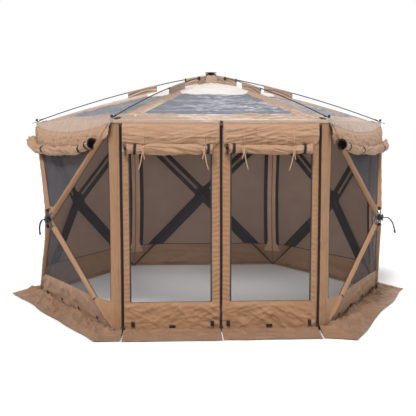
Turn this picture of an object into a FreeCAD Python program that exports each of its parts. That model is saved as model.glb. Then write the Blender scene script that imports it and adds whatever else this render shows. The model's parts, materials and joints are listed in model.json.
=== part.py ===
"""Six-sided hub screen house: folding pole frame, fabric skin, zipped doors and ground skirt.

Frame: origin on the ground at the middle of the floor, +Z up, the door wall faces -Y.
Five walls and the roof are pyramids of flat fabric facets that a hub pops out or in.
Every facet stops short of its neighbours, so that the folds stay clear over the whole travel.
"""
import FreeCAD, Part
import math
import os
from FreeCAD import Vector

# Driving dimensions, in millimetres.
CORNER_R = 1820.0            # ground centre to a corner seam, which is also one side's length
EAVE_Z = 1812.0              # fold line between walls and roof
BASE_Z = 6.0                 # fold line at the foot of the walls
ROOF_RISE = 443.0            # fabric apex above the eave
WALL_BULGE = 225.0           # fabric of a popped-out wall, outward at its hub
POLE_CORNER_W = 14.0         # wall pole axis, outward of the corner
HUB_W = 250.0                # wall hub centre, outward of the wall's plane

SHEET = 2.0                  # thickness that stands for one layer of fabric
SEAM_R = 5.0                 # rolled seam along each fold
FOLD_GAP = 9.0               # facet edge to its fold line
BASE_GAP = 14.0              # the same at the foot, where the hem is taller
EDGE_GAP = 3.0               # facet edge to the diagonal at the corner
WALL_EDGE_GROWTH = 22.0      # extra gap to the diagonal at the hub, in a wall
ROOF_EDGE_GROWTH = 34.0      # extra gap to the rib at the apex, in the roof
WALL_HUB_CLEAR = 95.0        # facet end to the wall hub's axis
APEX_CLEAR = 125.0           # gore end to the roof hub's axis

WALL_POLE_R = 5.5
WALL_POLE_CORNER_CLEAR = 0.035   # share of the diagonal left free at the corner
WALL_POLE_HUB_CLEAR = 0.047      # share of the diagonal left free at the hub
HUB_CORE_R = 28.0
HUB_DISC_R = 55.0
HUB_HALF_GAP = 20.0
HUB_DISC = 4.0

ROOF_POLE_R = 5.0
ROOF_POLE_FOOT = (1793.0, 1850.0)    # radius and height of the outer end
ROOF_POLE_HEAD = (100.0, 2309.0)     # radius and height of the inner end
ROOF_POLE_BOW = 38.0
ROOF_HUB_Z = 2318.0
ROOF_HUB_CORE_R = 20.0
ROOF_HUB_DISC_R = 60.0
ROOF_HUB_HALF_GAP = 26.0
ROOF_HUB_DISC = 6.0

DOOR_TOP_Z = 1786.0          # axis that a door folds up about
ZIP_X = 845.0                # outer zips
ZIP_HALF = 8.0               # half of a zip tape's width
HEADER_BOTTOM_Z = 1790.0
SKIRT_W = 280.0              # width of the skirt lying on the ground
SKIRT_T = 3.0
DOOR_ROLL_R = 46.0
DOOR_ROLL_Z = 1581.0
DOOR_ROLL_X = (86.0, 816.0)  # inner and outer ends
SIDE_ROLL_R = 44.0
SIDE_ROLL_V = 1565.0
SIDE_ROLL_W = 138.0
SIDE_ROLL_HALF = 870.0
SLIDER_Z = 34.0
CLEAR = 1.0                  # small gap between pieces that do not touch

APOTHEM = CORNER_R * math.cos(math.pi / 6)
HALF_SIDE = CORNER_R / 2
HUB_Z = (EAVE_Z + BASE_Z) / 2
UP = Vector(0, 0, 1)

HUB_WALLS = {"front_left": -150, "back_left": 150, "back": 90, "back_right": 30, "front_right": -30}
ROOF_SIDES = dict(HUB_WALLS, front=-90)
CORNERS = {"front_left": -120, "front_right": -60, "right": 0, "back_right": 60, "back_left": 120, "left": 180}


def save(name, solids):
    """Write the solids of one sub-part as a STEP file."""
    shape = solids[0] if len(solids) == 1 else Part.makeCompound(solids)
    if not shape.isValid():
        raise ValueError("invalid shape: " + name)
    shape.exportStep(os.path.join("parts", name + ".step"))


def ray(angle_deg):
    """Horizontal unit vector."""
    angle = math.radians(angle_deg)
    return Vector(math.cos(angle), math.sin(angle), 0)


def wall_frame(angle_deg):
    """Function that maps (along, height, outward) of a wall to a point."""
    outward = ray(angle_deg)
    along = UP.cross(outward)
    return lambda u, v, w: outward * (APOTHEM + w) + along * u + UP * v


def plate(points, thickness):
    """Flat plate whose middle surface is the polygon."""
    normal = (points[1] - points[0]).cross(points[2] - points[1])
    normal.normalize()
    ring = [p - normal * (thickness / 2) for p in points]
    return Part.Face(Part.makePolygon(ring + ring[:1])).extrude(normal * thickness)


def bar(start, end, radius):
    """Round bar between two points."""
    return Part.makeCylinder(radius, (end - start).Length, start, end - start)


def block(place, u_range, v_range, w_range):
    """Box along a wall's own directions."""
    u0, u1 = u_range
    v0, v1 = v_range
    w0, w1 = w_range
    foot = [place(u0, v0, w0), place(u1, v0, w0), place(u1, v0, w1), place(u0, v0, w1)]
    return Part.Face(Part.makePolygon(foot + foot[:1])).extrude(UP * (v1 - v0))


def slant(share, edge_growth, half_angle):
    """Shift of a facet's slanted edge off the diagonal, measured along the fold line."""
    return (EDGE_GAP + edge_growth * share) / math.cos(half_angle)


def wall_facets(place):
    """The four facets of a popped-out wall: top, bottom, left and right."""
    half_height = EAVE_Z - HUB_Z
    lean = math.atan2(HALF_SIDE, half_height)

    def upright_facet(sign, gap):
        near = half_height - gap
        far = WALL_HUB_CLEAR
        rows = []
        for drop in (near, far):
            share = 1 - drop / half_height
            half = HALF_SIDE * drop / half_height - slant(share, WALL_EDGE_GROWTH, lean)
            rows.append((half, HUB_Z + sign * drop, WALL_BULGE * share))
        (a, v0, w0), (b, v1, w1) = rows
        return plate([place(-a, v0, w0), place(a, v0, w0), place(b, v1, w1), place(-b, v1, w1)], SHEET)

    def side_facet(sign):
        rows = []
        for reach in (HALF_SIDE - FOLD_GAP, WALL_HUB_CLEAR):
            share = 1 - reach / HALF_SIDE
            half = half_height * reach / HALF_SIDE - slant(share, WALL_EDGE_GROWTH, math.pi / 2 - lean)
            rows.append((sign * reach, half, WALL_BULGE * share))
        (u0, a, w0), (u1, b, w1) = rows
        ring = [place(u0, HUB_Z - a, w0), place(u0, HUB_Z + a, w0)]
        return plate(ring + [place(u1, HUB_Z + b, w1), place(u1, HUB_Z - b, w1)], SHEET)

    return {
        "top": upright_facet(1, FOLD_GAP),
        "bottom": upright_facet(-1, BASE_GAP),
        "left": side_facet(-1),
        "right": side_facet(1),
    }


def wall_pole(place, side, level):
    """Straight pole from near a corner to near the hub of a wall."""
    corner = place(side * HALF_SIDE, HUB_Z + level * (EAVE_Z - HUB_Z), POLE_CORNER_W)
    hub = place(0, HUB_Z, HUB_W)
    start = corner + (hub - corner) * WALL_POLE_CORNER_CLEAR
    end = hub + (corner - hub) * WALL_POLE_HUB_CLEAR
    return bar(start, end, WALL_POLE_R)


def spool(centre, axis, core_r, disc_r, half_gap, disc):
    """Hub: a core between two discs that the pole ends pivot between."""
    foot = centre - axis * (half_gap + disc)
    body = Part.makeCylinder(core_r, 2 * (half_gap + disc), foot, axis)
    body = body.fuse(Part.makeCylinder(disc_r, disc, foot, axis))
    body = body.fuse(Part.makeCylinder(disc_r, disc, centre + axis * half_gap, axis))
    return body.removeSplitter()


def roof_gore(angle_deg):
    """One triangular roof panel, cut short at the apex."""
    place = wall_frame(angle_deg)
    rows = []
    for radius in (APOTHEM - FOLD_GAP, APEX_CLEAR):
        share = 1 - radius / APOTHEM
        half = HALF_SIDE * radius / APOTHEM - slant(share, ROOF_EDGE_GROWTH, math.pi / 6)
        rows.append((half, EAVE_Z + ROOF_RISE * share, radius - APOTHEM))
    (a, v0, w0), (b, v1, w1) = rows
    return plate([place(-a, v0, w0), place(a, v0, w0), place(b, v1, w1), place(-b, v1, w1)], SHEET)


def roof_pole(angle_deg):
    """Roof pole, bowed upward as a circular arc in its rib's upright plane."""
    outward = ray(angle_deg)
    side = UP.cross(outward)
    foot = outward * ROOF_POLE_FOOT[0] + UP * ROOF_POLE_FOOT[1]
    head = outward * ROOF_POLE_HEAD[0] + UP * ROOF_POLE_HEAD[1]
    chord = head - foot
    radius = (chord.Length ** 2 / 4 + ROOF_POLE_BOW ** 2) / (2 * ROOF_POLE_BOW)
    down = chord.cross(side)
    down.normalize()
    if down.z > 0:
        down = down * -1
    centre = (foot + head) * 0.5 + down * (radius - ROOF_POLE_BOW)
    sweep = 2 * math.degrees(math.asin(chord.Length / 2 / radius))
    tangent = side.cross(foot - centre)
    section = Part.Face(Part.Wire(Part.makeCircle(ROOF_POLE_R, foot, tangent)))
    solid = section.revolve(centre, side, -sweep)
    if (Part.Vertex(head).distToShape(solid)[0]) > ROOF_POLE_R:
        solid = section.revolve(centre, side, sweep)
    return solid


def top_bracket(angle_deg):
    """Metal corner plate that carries a ball knob above the eave corner."""
    outward = ray(angle_deg)
    side = UP.cross(outward)
    inner, outer, half_width = 1827.0, 1831.0, 15.0
    low, high, knob_r = 1806.0, 1852.0, 12.0
    ring = []
    for radius, across in ((inner, -1), (outer, -1), (outer, 1), (inner, 1)):
        ring.append(outward * radius + side * (across * half_width) + UP * low)
    body = Part.Face(Part.makePolygon(ring + ring[:1])).extrude(UP * (high - low))
    knob = Part.makeSphere(knob_r, outward * (inner + outer) / 2 + UP * (high + 0.6 * knob_r))
    return body.fuse(knob)


def bottom_bracket(angle_deg):
    """Plastic foot outside a corner seam, standing on the skirt."""
    outward = ray(angle_deg)
    side = UP.cross(outward)
    inner, outer, half_width, high = 1827.0, 1851.0, 13.0, 32.0
    ring = []
    for radius, across in ((inner, -1), (outer, -0.6), (outer, 0.6), (inner, 1)):
        ring.append(outward * radius + side * (across * half_width) + UP * (SKIRT_T + CLEAR / 2))
    return Part.Face(Part.makePolygon(ring + ring[:1])).extrude(UP * (high - SKIRT_T))


def fabric_frame():
    """Seams and hems that stay put: corner seams, eave seams, foot hems, front posts and header."""
    solids = []
    for angle_deg in CORNERS.values():
        corner = ray(angle_deg) * CORNER_R
        solids.append(bar(corner + UP * (2 * SEAM_R + 3), corner + UP * (EAVE_Z - 2 * SEAM_R), SEAM_R))
    seam_half = HALF_SIDE - 2 * SEAM_R
    for angle_deg in ROOF_SIDES.values():
        place = wall_frame(angle_deg)
        solids.append(bar(place(-seam_half, EAVE_Z, 0), place(seam_half, EAVE_Z, 0), SEAM_R))
    for angle_deg in HUB_WALLS.values():
        place = wall_frame(angle_deg)
        solids.append(block(place, (-seam_half, seam_half), (0, 2 * BASE_Z), (-SEAM_R, SEAM_R)))
    place = wall_frame(ROOF_SIDES["front"])
    post_out = HALF_SIDE - SEAM_R - CLEAR
    post_in = ZIP_X - ZIP_HALF
    post_top = EAVE_Z - SEAM_R - CLEAR
    for ends in ((-post_out, -post_in), (post_in, post_out)):
        solids.append(block(place, ends, (SKIRT_T + CLEAR, post_top), (-SHEET, SHEET)))
    header_half = post_in - CLEAR
    solids.append(block(place, (-header_half, header_half), (HEADER_BOTTOM_Z, post_top), (-SHEET, SHEET)))
    return solids


def skirt_piece(place, near, far):
    """Flat skirt from the wall's foot outward; near and far give its two ends at each edge."""
    ring = [place(near[0], 0, SEAM_R + CLEAR), place(near[1], 0, SEAM_R + CLEAR)]
    ring += [place(far[1], 0, SKIRT_W), place(far[0], 0, SKIRT_W)]
    return Part.Face(Part.makePolygon(ring + ring[:1])).extrude(UP * SKIRT_T)


def mitre(width):
    """Half length of a wall's skirt at a distance outward, cut at the corner's bisector."""
    return HALF_SIDE + width * math.tan(math.pi / 6) - CLEAR


def ground_skirt():
    """Skirts of the five hub walls, and of the two front posts."""
    inner, outer = mitre(SEAM_R + CLEAR), mitre(SKIRT_W)
    solids = []
    for angle_deg in HUB_WALLS.values():
        solids.append(skirt_piece(wall_frame(angle_deg), (-inner, inner), (-outer, outer)))
    place = wall_frame(ROOF_SIDES["front"])
    slit = ZIP_X
    solids.append(skirt_piece(place, (-inner, -slit), (-outer, -slit)))
    solids.append(skirt_piece(place, (slit, inner), (slit, outer)))
    return solids


def door(side, inner_x):
    """Door panel and the length of skirt sewn to its foot; inner_x is its edge near the middle."""
    place = wall_frame(ROOF_SIDES["front"])
    ends = sorted((side * (ZIP_X - ZIP_HALF - CLEAR), inner_x))
    panel = block(place, ends, (0, DOOR_TOP_Z - FOLD_GAP), (-SHEET, SHEET))
    return [panel, skirt_piece(place, ends, ends)]


def slider(x):
    """Zip slider with its hanging pull, in front of the zip tape."""
    place = wall_frame(ROOF_SIDES["front"])
    face = SHEET + CLEAR
    body = block(place, (x - 6, x + 6), (SLIDER_Z, SLIDER_Z + 16), (face, face + 6))
    pull = block(place, (x - 4, x + 4), (SLIDER_Z - 24, SLIDER_Z + 2), (face + 3, face + 5))
    return body.fuse(pull).removeSplitter()


def main():
    os.makedirs("parts", exist_ok=True)
    for wall, angle_deg in HUB_WALLS.items():
        place = wall_frame(angle_deg)
        for facet, solid in wall_facets(place).items():
            save("panel_" + facet + "_" + wall, [solid])
        save("poles_upper_" + wall, [wall_pole(place, side, 1) for side in (-1, 1)])
        save("poles_lower_" + wall, [wall_pole(place, side, -1) for side in (-1, 1)])
        hub = spool(place(0, HUB_Z, HUB_W), ray(angle_deg), HUB_CORE_R, HUB_DISC_R, HUB_HALF_GAP, HUB_DISC)
        save("hub_" + wall, [hub])
    for side, angle_deg in ROOF_SIDES.items():
        save("roof_gore_" + side, [roof_gore(angle_deg)])
    for corner, angle_deg in CORNERS.items():
        save("roof_pole_" + corner, [roof_pole(angle_deg)])
    roof_centre = UP * ROOF_HUB_Z
    roof_spool = (ROOF_HUB_CORE_R, ROOF_HUB_DISC_R, ROOF_HUB_HALF_GAP, ROOF_HUB_DISC)
    save("roof_hub", [spool(roof_centre, UP, *roof_spool)])
    brackets = [top_bracket(angle_deg) for angle_deg in CORNERS.values()]
    save("corner_brackets", brackets + [bottom_bracket(angle_deg) for angle_deg in CORNERS.values()])
    save("fabric_frame", fabric_frame())
    save("ground_skirt", ground_skirt())

    front = wall_frame(ROOF_SIDES["front"])
    roll_w = SHEET + CLEAR + DOOR_ROLL_R
    for name, side, inner_x in (("left", -1, ZIP_HALF), ("right", 1, ZIP_HALF + CLEAR)):
        save("door_" + name, door(side, inner_x))
        near, far = (front(side * x, DOOR_ROLL_Z, roll_w) for x in DOOR_ROLL_X)
        save("door_cover_" + name, [bar(near, far, DOOR_ROLL_R)])
        place = wall_frame(HUB_WALLS["front_" + name])
        ends = [place(sign * SIDE_ROLL_HALF, SIDE_ROLL_V, SIDE_ROLL_W) for sign in (-1, 1)]
        save("side_cover_" + name, [bar(ends[0], ends[1], SIDE_ROLL_R)])
    for name, x in (("left", -ZIP_X), ("centre", 0), ("right", ZIP_X)):
        save("zip_slider_" + name, [slider(x)])


main()
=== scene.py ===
"""Screen house looks: fabric, netting, rolled covers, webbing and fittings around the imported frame."""
import json
import math
import bmesh
import bpy
from mathutils import Matrix, Vector, noise


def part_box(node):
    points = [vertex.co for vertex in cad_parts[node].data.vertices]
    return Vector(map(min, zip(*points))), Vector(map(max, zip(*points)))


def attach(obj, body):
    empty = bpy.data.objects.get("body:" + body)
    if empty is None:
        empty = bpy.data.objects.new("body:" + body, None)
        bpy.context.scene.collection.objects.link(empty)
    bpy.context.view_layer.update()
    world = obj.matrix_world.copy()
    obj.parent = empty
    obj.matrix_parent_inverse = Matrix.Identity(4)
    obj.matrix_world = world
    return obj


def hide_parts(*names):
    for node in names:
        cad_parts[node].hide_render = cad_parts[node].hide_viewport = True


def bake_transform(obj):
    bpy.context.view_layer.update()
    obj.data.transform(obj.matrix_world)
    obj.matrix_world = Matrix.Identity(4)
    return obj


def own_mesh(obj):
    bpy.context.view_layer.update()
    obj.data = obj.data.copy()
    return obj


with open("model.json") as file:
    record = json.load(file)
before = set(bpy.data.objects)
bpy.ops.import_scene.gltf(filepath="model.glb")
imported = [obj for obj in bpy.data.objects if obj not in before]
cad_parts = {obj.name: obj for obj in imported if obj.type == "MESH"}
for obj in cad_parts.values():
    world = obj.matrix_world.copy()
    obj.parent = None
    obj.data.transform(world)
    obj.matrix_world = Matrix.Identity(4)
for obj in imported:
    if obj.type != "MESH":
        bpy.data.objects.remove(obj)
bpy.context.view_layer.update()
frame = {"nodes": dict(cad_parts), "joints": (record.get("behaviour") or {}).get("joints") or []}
JOINTS = {joint["name"]: joint for joint in frame["joints"]}

# Sizes read from the frame, in metres.
EAVE_Z = JOINTS["panel_top_back_fold"]["pos_m"][2]
BASE_Z = JOINTS["panel_bottom_back_fold"]["pos_m"][2]
APOTHEM = JOINTS["panel_top_back_fold"]["pos_m"][1]
HALF_SIDE = APOTHEM * math.tan(math.pi / 6)
CORNER_R = 2 * HALF_SIDE
HALF_HEIGHT = (EAVE_Z - BASE_Z) / 2
HUB_Z = BASE_Z + HALF_HEIGHT
WALL_BULGE = -JOINTS["hub_back_slide"]["range_m"][0] / 2
ROOF_RISE = APOTHEM * math.tan(math.radians(-JOINTS["roof_gore_back_fold"]["range_deg"][0]) / 2)
DOOR_TOP_Z = JOINTS["door_left_lift"]["pos_m"][2]
HUB_OUT = sum(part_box("hub_back")[i][1] for i in (0, 1)) / 2 - APOTHEM
ROOF_HUB_LOW, ROOF_HUB_HIGH = (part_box("roof_hub")[i][2] for i in (0, 1))

# Sizes of the sewn parts, in metres.
KICK_TOP = 0.27
CORNER_STRIP = 0.057
DARK_STRIP = 0.048
DIAGONAL_TAN = 0.024
BINDING = 0.013
ZIP_X = 0.845
ZIP_HALF = 0.008
ZIP_LAP = 0.003
SKIRT_W = 0.28
SKIRT_GAP = 0.006           # from a side zip's middle to the skirt on either side
HEM_Z = 0.004               # height of the fabric's lower hem over the ground
FRONT = -90
HUB_WALLS = {"front_left": -150, "back_left": 150, "back": 90, "back_right": 30, "front_right": -30}
CLOSED_WALLS = ("back_left", "back", "back_right")
ROOF_SIDES = dict(HUB_WALLS, front=FRONT)
CORNERS = {"front_left": -120, "front_right": -60, "right": 0, "back_right": 60, "back_left": 120,
           "left": 180}
UP = Vector((0, 0, 1))


def ray(angle_deg):
    """Horizontal unit vector."""
    angle = math.radians(angle_deg)
    return Vector((math.cos(angle), math.sin(angle), 0))


def wall_frame(angle_deg):
    """Function that maps (along, height, outward) of a wall to a point."""
    outward = ray(angle_deg)
    along = UP.cross(outward)
    return lambda u, v, w: outward * (APOTHEM + w) + along * u + UP * v


def corner_frame(angle_deg):
    """Function that maps (radius, across, height) at a corner to a point."""
    outward = ray(angle_deg)
    side = UP.cross(outward)
    return lambda radius, across, height: outward * radius + side * across + UP * height


def ramp(value, low, high):
    """0 below low, 1 above high, smooth between."""
    t = min(1, max(0, (value - low) / (high - low)))
    return t * t * (3 - 2 * t)


def creases(u, v, seed, width, stretch, angle_deg=0.0, sharp=1.5):
    """Sharp branching creases, about 0 to 1.3 high, of a given width and stretched along a direction."""
    angle = math.radians(angle_deg)
    along = (u * math.cos(angle) + v * math.sin(angle)) / (width * stretch)
    across = (v * math.cos(angle) - u * math.sin(angle)) / width
    warp = 0.8 * noise.noise(Vector((0.5 * along, 0.5 * across, seed + 0.5)))
    where = Vector((along + warp, across + 0.7 * warp, seed))
    coarse = max(0, 1 - 2.4 * abs(noise.noise(where)))
    fine = max(0, 1 - 2.4 * abs(noise.noise(where * 2.7 + Vector((0, 0, 9)))))
    patch = 0.35 + 0.65 * ramp(noise.noise(where * 0.45 + Vector((5, 0, 0))), -0.25, 0.25)
    return patch * (coarse ** sharp + 0.3 * fine ** sharp)


# ---------------------------------------------------------------- materials

WAVE_SCALE = 0.314      # a wave texture's scale where its waves are a metre apart


def node(tree, kind, **values):
    """New shader node: each value is a property, an input's number or the output that feeds an input."""
    made = tree.nodes.new(kind)
    for name, value in values.items():
        if name not in made.inputs:
            setattr(made, name, value)
        elif isinstance(value, bpy.types.NodeSocket):
            tree.links.new(value, made.inputs[name])
        else:
            made.inputs[name].default_value = value
    return made


def base_material(name, slot, **values):
    """Material with one Principled shader whose inputs have these values, and the shader."""
    material = bpy.data.materials.new(name)
    material.use_nodes = True
    shader = material.node_tree.nodes["Principled BSDF"]
    for key, value in values.items():
        shader.inputs[key.replace("_", " ")].default_value = value
    return material, shader


def grade(tree, factor, stops):
    """Colour that runs between two stops (position, colour)."""
    made = node(tree, "ShaderNodeValToRGB", Fac=factor)
    for element, (place, colour) in zip(made.color_ramp.elements, stops):
        element.position = place
        element.color = (*colour, 1)
    return made.outputs["Color"]


def mottled(tree, coords, shader, colour, spread, scale):
    """Colour that drifts a little over the surface."""
    cloud = node(tree, "ShaderNodeTexNoise", Scale=scale, Detail=5.0, Roughness=0.6, Vector=coords)
    low, high = ([c * share for c in colour] for share in (1 - spread, 1 + spread))
    drifting = grade(tree, cloud.outputs["Fac"], ((0.3, low), (0.7, high)))
    tree.links.new(drifting, shader.inputs["Base Color"])


def relief(tree, height, strength, distance, **under):
    """Normal bumped by a height, over the normal under it if there is one."""
    bump = node(tree, "ShaderNodeBump", Height=height, Strength=strength, Distance=distance, **under)
    return bump.outputs["Normal"]


def fabric(name, slot, colour, spread=0.08, thread=0.0011, crinkle=0.4, alpha=1.0, roughness=0.62,
           gloss=0.4, sheen=0.12):
    """Woven cloth: drifting colour, thread relief on the sheet's own lengths, and fine crinkles."""
    material, shader = base_material(name, slot, Roughness=roughness, Alpha=alpha, Sheen_Weight=sheen,
                                     Specular_IOR_Level=gloss)
    tree = material.node_tree
    lengths = node(tree, "ShaderNodeTexCoord").outputs["UV"]
    mottled(tree, lengths, shader, colour, spread, 6.0)
    weave = node(tree, "ShaderNodeMath", operation="MAXIMUM")
    for direction, side in (("X", 0), ("Y", 1)):
        wave = node(tree, "ShaderNodeTexWave", bands_direction=direction, Scale=WAVE_SCALE / thread,
                    Vector=lengths)
        tree.links.new(wave.outputs["Fac"], weave.inputs[side])
    threads = relief(tree, weave.outputs[0], 0.25, 0.0004)
    creased = node(tree, "ShaderNodeTexNoise", noise_type="RIDGED_MULTIFRACTAL", Scale=7.0, Detail=4.0,
                   Roughness=0.45, Distortion=0.9, Vector=lengths)
    crinkled = relief(tree, creased.outputs["Fac"], crinkle, 0.012, Normal=threads)
    tree.links.new(crinkled, shader.inputs["Normal"])
    return material


def plastic(name, slot, colour, roughness, metallic=0.0):
    """Moulded or metal part with a fine grain in its relief and colour."""
    material, shader = base_material(name, slot, Roughness=roughness, Metallic=metallic)
    tree = material.node_tree
    place = node(tree, "ShaderNodeTexCoord").outputs["Object"]
    mottled(tree, place, shader, colour, 0.12, 30.0)
    speck = node(tree, "ShaderNodeTexNoise", Scale=240.0, Detail=2.0, Vector=place)
    tree.links.new(relief(tree, speck.outputs["Fac"], 0.2, 0.0006), shader.inputs["Normal"])
    return material


def webbing(name, slot, colour, rib=0.0018):
    """Narrow woven tape with ribs across it."""
    material, shader = base_material(name, slot, Roughness=0.8, Sheen_Weight=0.04, Specular_IOR_Level=0.15)
    tree = material.node_tree
    lengths = node(tree, "ShaderNodeTexCoord").outputs["UV"]
    mottled(tree, lengths, shader, colour, 0.2, 60.0)
    wave = node(tree, "ShaderNodeTexWave", bands_direction="DIAGONAL", Scale=WAVE_SCALE / rib,
                Vector=lengths)
    tree.links.new(relief(tree, wave.outputs["Fac"], 0.5, 0.0006), shader.inputs["Normal"])
    return material


MESH = {"thread": 0.0016, "roughness": 0.9, "gloss": 0.1, "sheen": 0.0}
TAN = fabric("tan_polyester", "shell_fabric", (0.254, 0.131, 0.062), crinkle=0.9)
INNER_TAN = fabric("inner_tape", "shell_fabric", (0.24, 0.14, 0.085), crinkle=0.8)
CORNER_TAN = fabric("corner_tape", "shell_fabric", (0.55, 0.34, 0.225), crinkle=0.8)
LINING = fabric("cover_polyester", "shell_fabric", (0.322, 0.186, 0.107), spread=0.04, crinkle=0.3)
ROLLED = fabric("rolled_polyester", "shell_fabric", (0.320, 0.182, 0.104), spread=0.10, crinkle=0.5)
ROOF_TAN = fabric("roof_polyester", "roof_fabric", (0.345, 0.235, 0.171), crinkle=0.9, roughness=0.45,
                  gloss=0.6)
CAP = fabric("roof_cap_polyester", "roof_fabric", (0.585, 0.540, 0.510), spread=0.05, crinkle=0.3)
SKIRT = fabric("skirt_polyester", "skirt_fabric", (0.200, 0.108, 0.058), spread=0.16, crinkle=1.4)
NETTING = fabric("screen_netting", "screen_mesh", (0.030, 0.027, 0.027), crinkle=0.1, alpha=0.29, **MESH)
# Netting over a closed wall: its pale brown is painted light, standing for daylight coming through the
# cover behind it.
LINED_NETTING_PAINTED_LIGHT = fabric("lined_netting", "screen_mesh", (0.45, 0.325, 0.265), crinkle=0.3, alpha=0.55,
                       **MESH)
SIDE_NETTING = fabric("side_netting", "screen_mesh", (0.062, 0.060, 0.068), crinkle=0.2, alpha=0.70, **MESH)
ROOF_NETTING = fabric("roof_netting", "roof_fabric", (0.150, 0.160, 0.188), thread=0.0016, crinkle=0.8,
                      alpha=0.88, roughness=0.44, gloss=0.6)
FAR_NETTING = fabric("far_netting", "screen_mesh", (0.060, 0.058, 0.066), crinkle=0.2, alpha=0.84, **MESH)
# Dark binding tape; the same material is also painted shade in the mouths of the rolls.
DARK = fabric("dark_binding", "hub_plastic", (0.026, 0.025, 0.030), crinkle=0.1, gloss=0.2, sheen=0.02)
BLACK_TAPE = webbing("black_webbing", "hub_plastic", (0.018, 0.018, 0.020))
TAN_TAPE = webbing("tan_tape", "shell_fabric", (0.42, 0.25, 0.15))
ZIP_TAPE = webbing("zip_tape", "hub_plastic", (0.012, 0.011, 0.016), rib=0.003)
FIBREGLASS = plastic("pole_fibreglass", None, (0.035, 0.035, 0.04), 0.55)
HUB_PLASTIC = plastic("hub_nylon", "hub_plastic", (0.014, 0.014, 0.016), 0.5)
BRACKET_METAL = plastic("bracket_zinc", "bracket_metal", (0.42, 0.44, 0.45), 0.35, metallic=0.8)
SLIDER_METAL = plastic("slider_metal", None, (0.30, 0.30, 0.32), 0.35, metallic=0.8)
GUY_CORD = webbing("guy_cord", "shell_fabric", (0.30, 0.32, 0.33))


# ---------------------------------------------------------------- mesh helpers

def link_new(name, data):
    """New object in the scene."""
    made = bpy.data.objects.new(name, data)
    bpy.context.scene.collection.objects.link(made)
    return made


def flat_size(sheet, slope):
    """Width, height and area of a flat bmesh's cut, where slope is the real length of a metre across it."""
    us = [vert.co.x for vert in sheet.verts]
    vs = [vert.co.y for vert in sheet.verts]
    area = sum(face.calc_area() for face in sheet.faces)
    return (max(us) - min(us)) * slope, (max(vs) - min(vs)) * slope, area * slope


def add_object(name, mesh, materials, body):
    """Object from a mesh, with its materials, on a body unless that is None."""
    made = link_new(name, mesh)
    for material in materials:
        mesh.materials.append(material)
    if body:
        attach(made, body)
    return made


def score(sheet, point, normal, clear):
    """Cut a flat bmesh along one line, and drop what lies beyond it if clear."""
    parts = sheet.verts[:] + sheet.edges[:] + sheet.faces[:]
    bmesh.ops.bisect_plane(sheet, geom=parts, dist=1e-6, plane_co=(*point, 0), plane_no=(*normal, 0),
                           clear_outer=clear)


def scored_sheet(outline, step, cuts):
    """Flat bmesh in (u, v): a grid clipped to a convex outline, and scored along lines (point, normal)."""
    us, vs = zip(*outline)
    sheet = bmesh.new()
    spans = (max(us) - min(us), max(vs) - min(vs))
    counts = [max(1, math.ceil(span / step)) for span in spans]
    bmesh.ops.create_grid(sheet, x_segments=counts[0], y_segments=counts[1], size=0.5)
    middle = Vector(((max(us) + min(us)) / 2, (max(vs) + min(vs)) / 2, 0))
    matrix = Matrix.Translation(middle) @ Matrix.Diagonal((*spans, 1, 1))
    bmesh.ops.transform(sheet, matrix=matrix, verts=sheet.verts)
    edges = list(zip(outline, outline[1:] + outline[:1]))
    turn = 1 if sum(a[0] * b[1] - b[0] * a[1] for a, b in edges) > 0 else -1
    for a, b in edges:
        score(sheet, a, (turn * (b[1] - a[1]), turn * (a[0] - b[0])), clear=True)
    for point, normal in cuts:
        score(sheet, point, normal, clear=False)
    return sheet


def shape_sheet(sheet, name, point, region, materials, body):
    """Turn a flat bmesh into an object: point(u, v) places it, region(u, v) picks each face's material."""
    lengths = sheet.loops.layers.uv.new("UVMap")
    for face in sheet.faces:
        centre = face.calc_center_median()
        face.material_index = region(centre.x, centre.y)
        face.smooth = True
        for loop in face.loops:
            loop[lengths].uv = loop.vert.co.xy
    for vert in sheet.verts:
        vert.co = point(vert.co.x, vert.co.y)
    mesh = bpy.data.meshes.new(name)
    sheet.to_mesh(mesh)
    sheet.free()
    return add_object(name, mesh, materials, body)


def grid_sheet(name, rows, columns, point, size, materials, body, region=None):
    """Sheet from a rectangular grid: point(s, t) with s and t from 0 to 1, and UVs in metres."""
    mesh = bpy.data.meshes.new(name)
    places = [(i / rows, j / columns) for i in range(rows + 1) for j in range(columns + 1)]
    width = columns + 1
    firsts = [i * width + j for i in range(rows) for j in range(columns)]
    faces = [(first, first + 1, first + width + 1, first + width) for first in firsts]
    mesh.from_pydata([point(s, t) for s, t in places], [], faces)
    lengths = mesh.uv_layers.new(name="UVMap")
    for loop in mesh.loops:
        s, t = places[loop.vertex_index]
        lengths.data[loop.index].uv = (s * size[0], t * size[1])
    for face in mesh.polygons:
        face.use_smooth = True
        if region:
            corners = [places[i] for i in face.vertices]
            face.material_index = region(*(sum(c[k] for c in corners) / 4 for k in (0, 1)))
    return add_object(name, mesh, materials, body)


def thicken(piece, thickness):
    """Give a strip or panel a real thickness, centred on its surface."""
    solid = piece.modifiers.new("thickness", "SOLIDIFY")
    solid.thickness = thickness
    solid.offset = 0


def strap(name, points, across, width, thickness, material, body):
    """Flat tape along points, with its width along the direction across."""
    def point(s, t):
        index = s * (len(points) - 1)
        low = min(int(index), len(points) - 2)
        return points[low].lerp(points[low + 1], index - low) + across * ((t - 0.5) * width)

    length = sum((b - a).length for a, b in zip(points, points[1:]))
    thicken(grid_sheet(name, len(points) - 1, 2, point, (length, width), [material], body), thickness)


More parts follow.
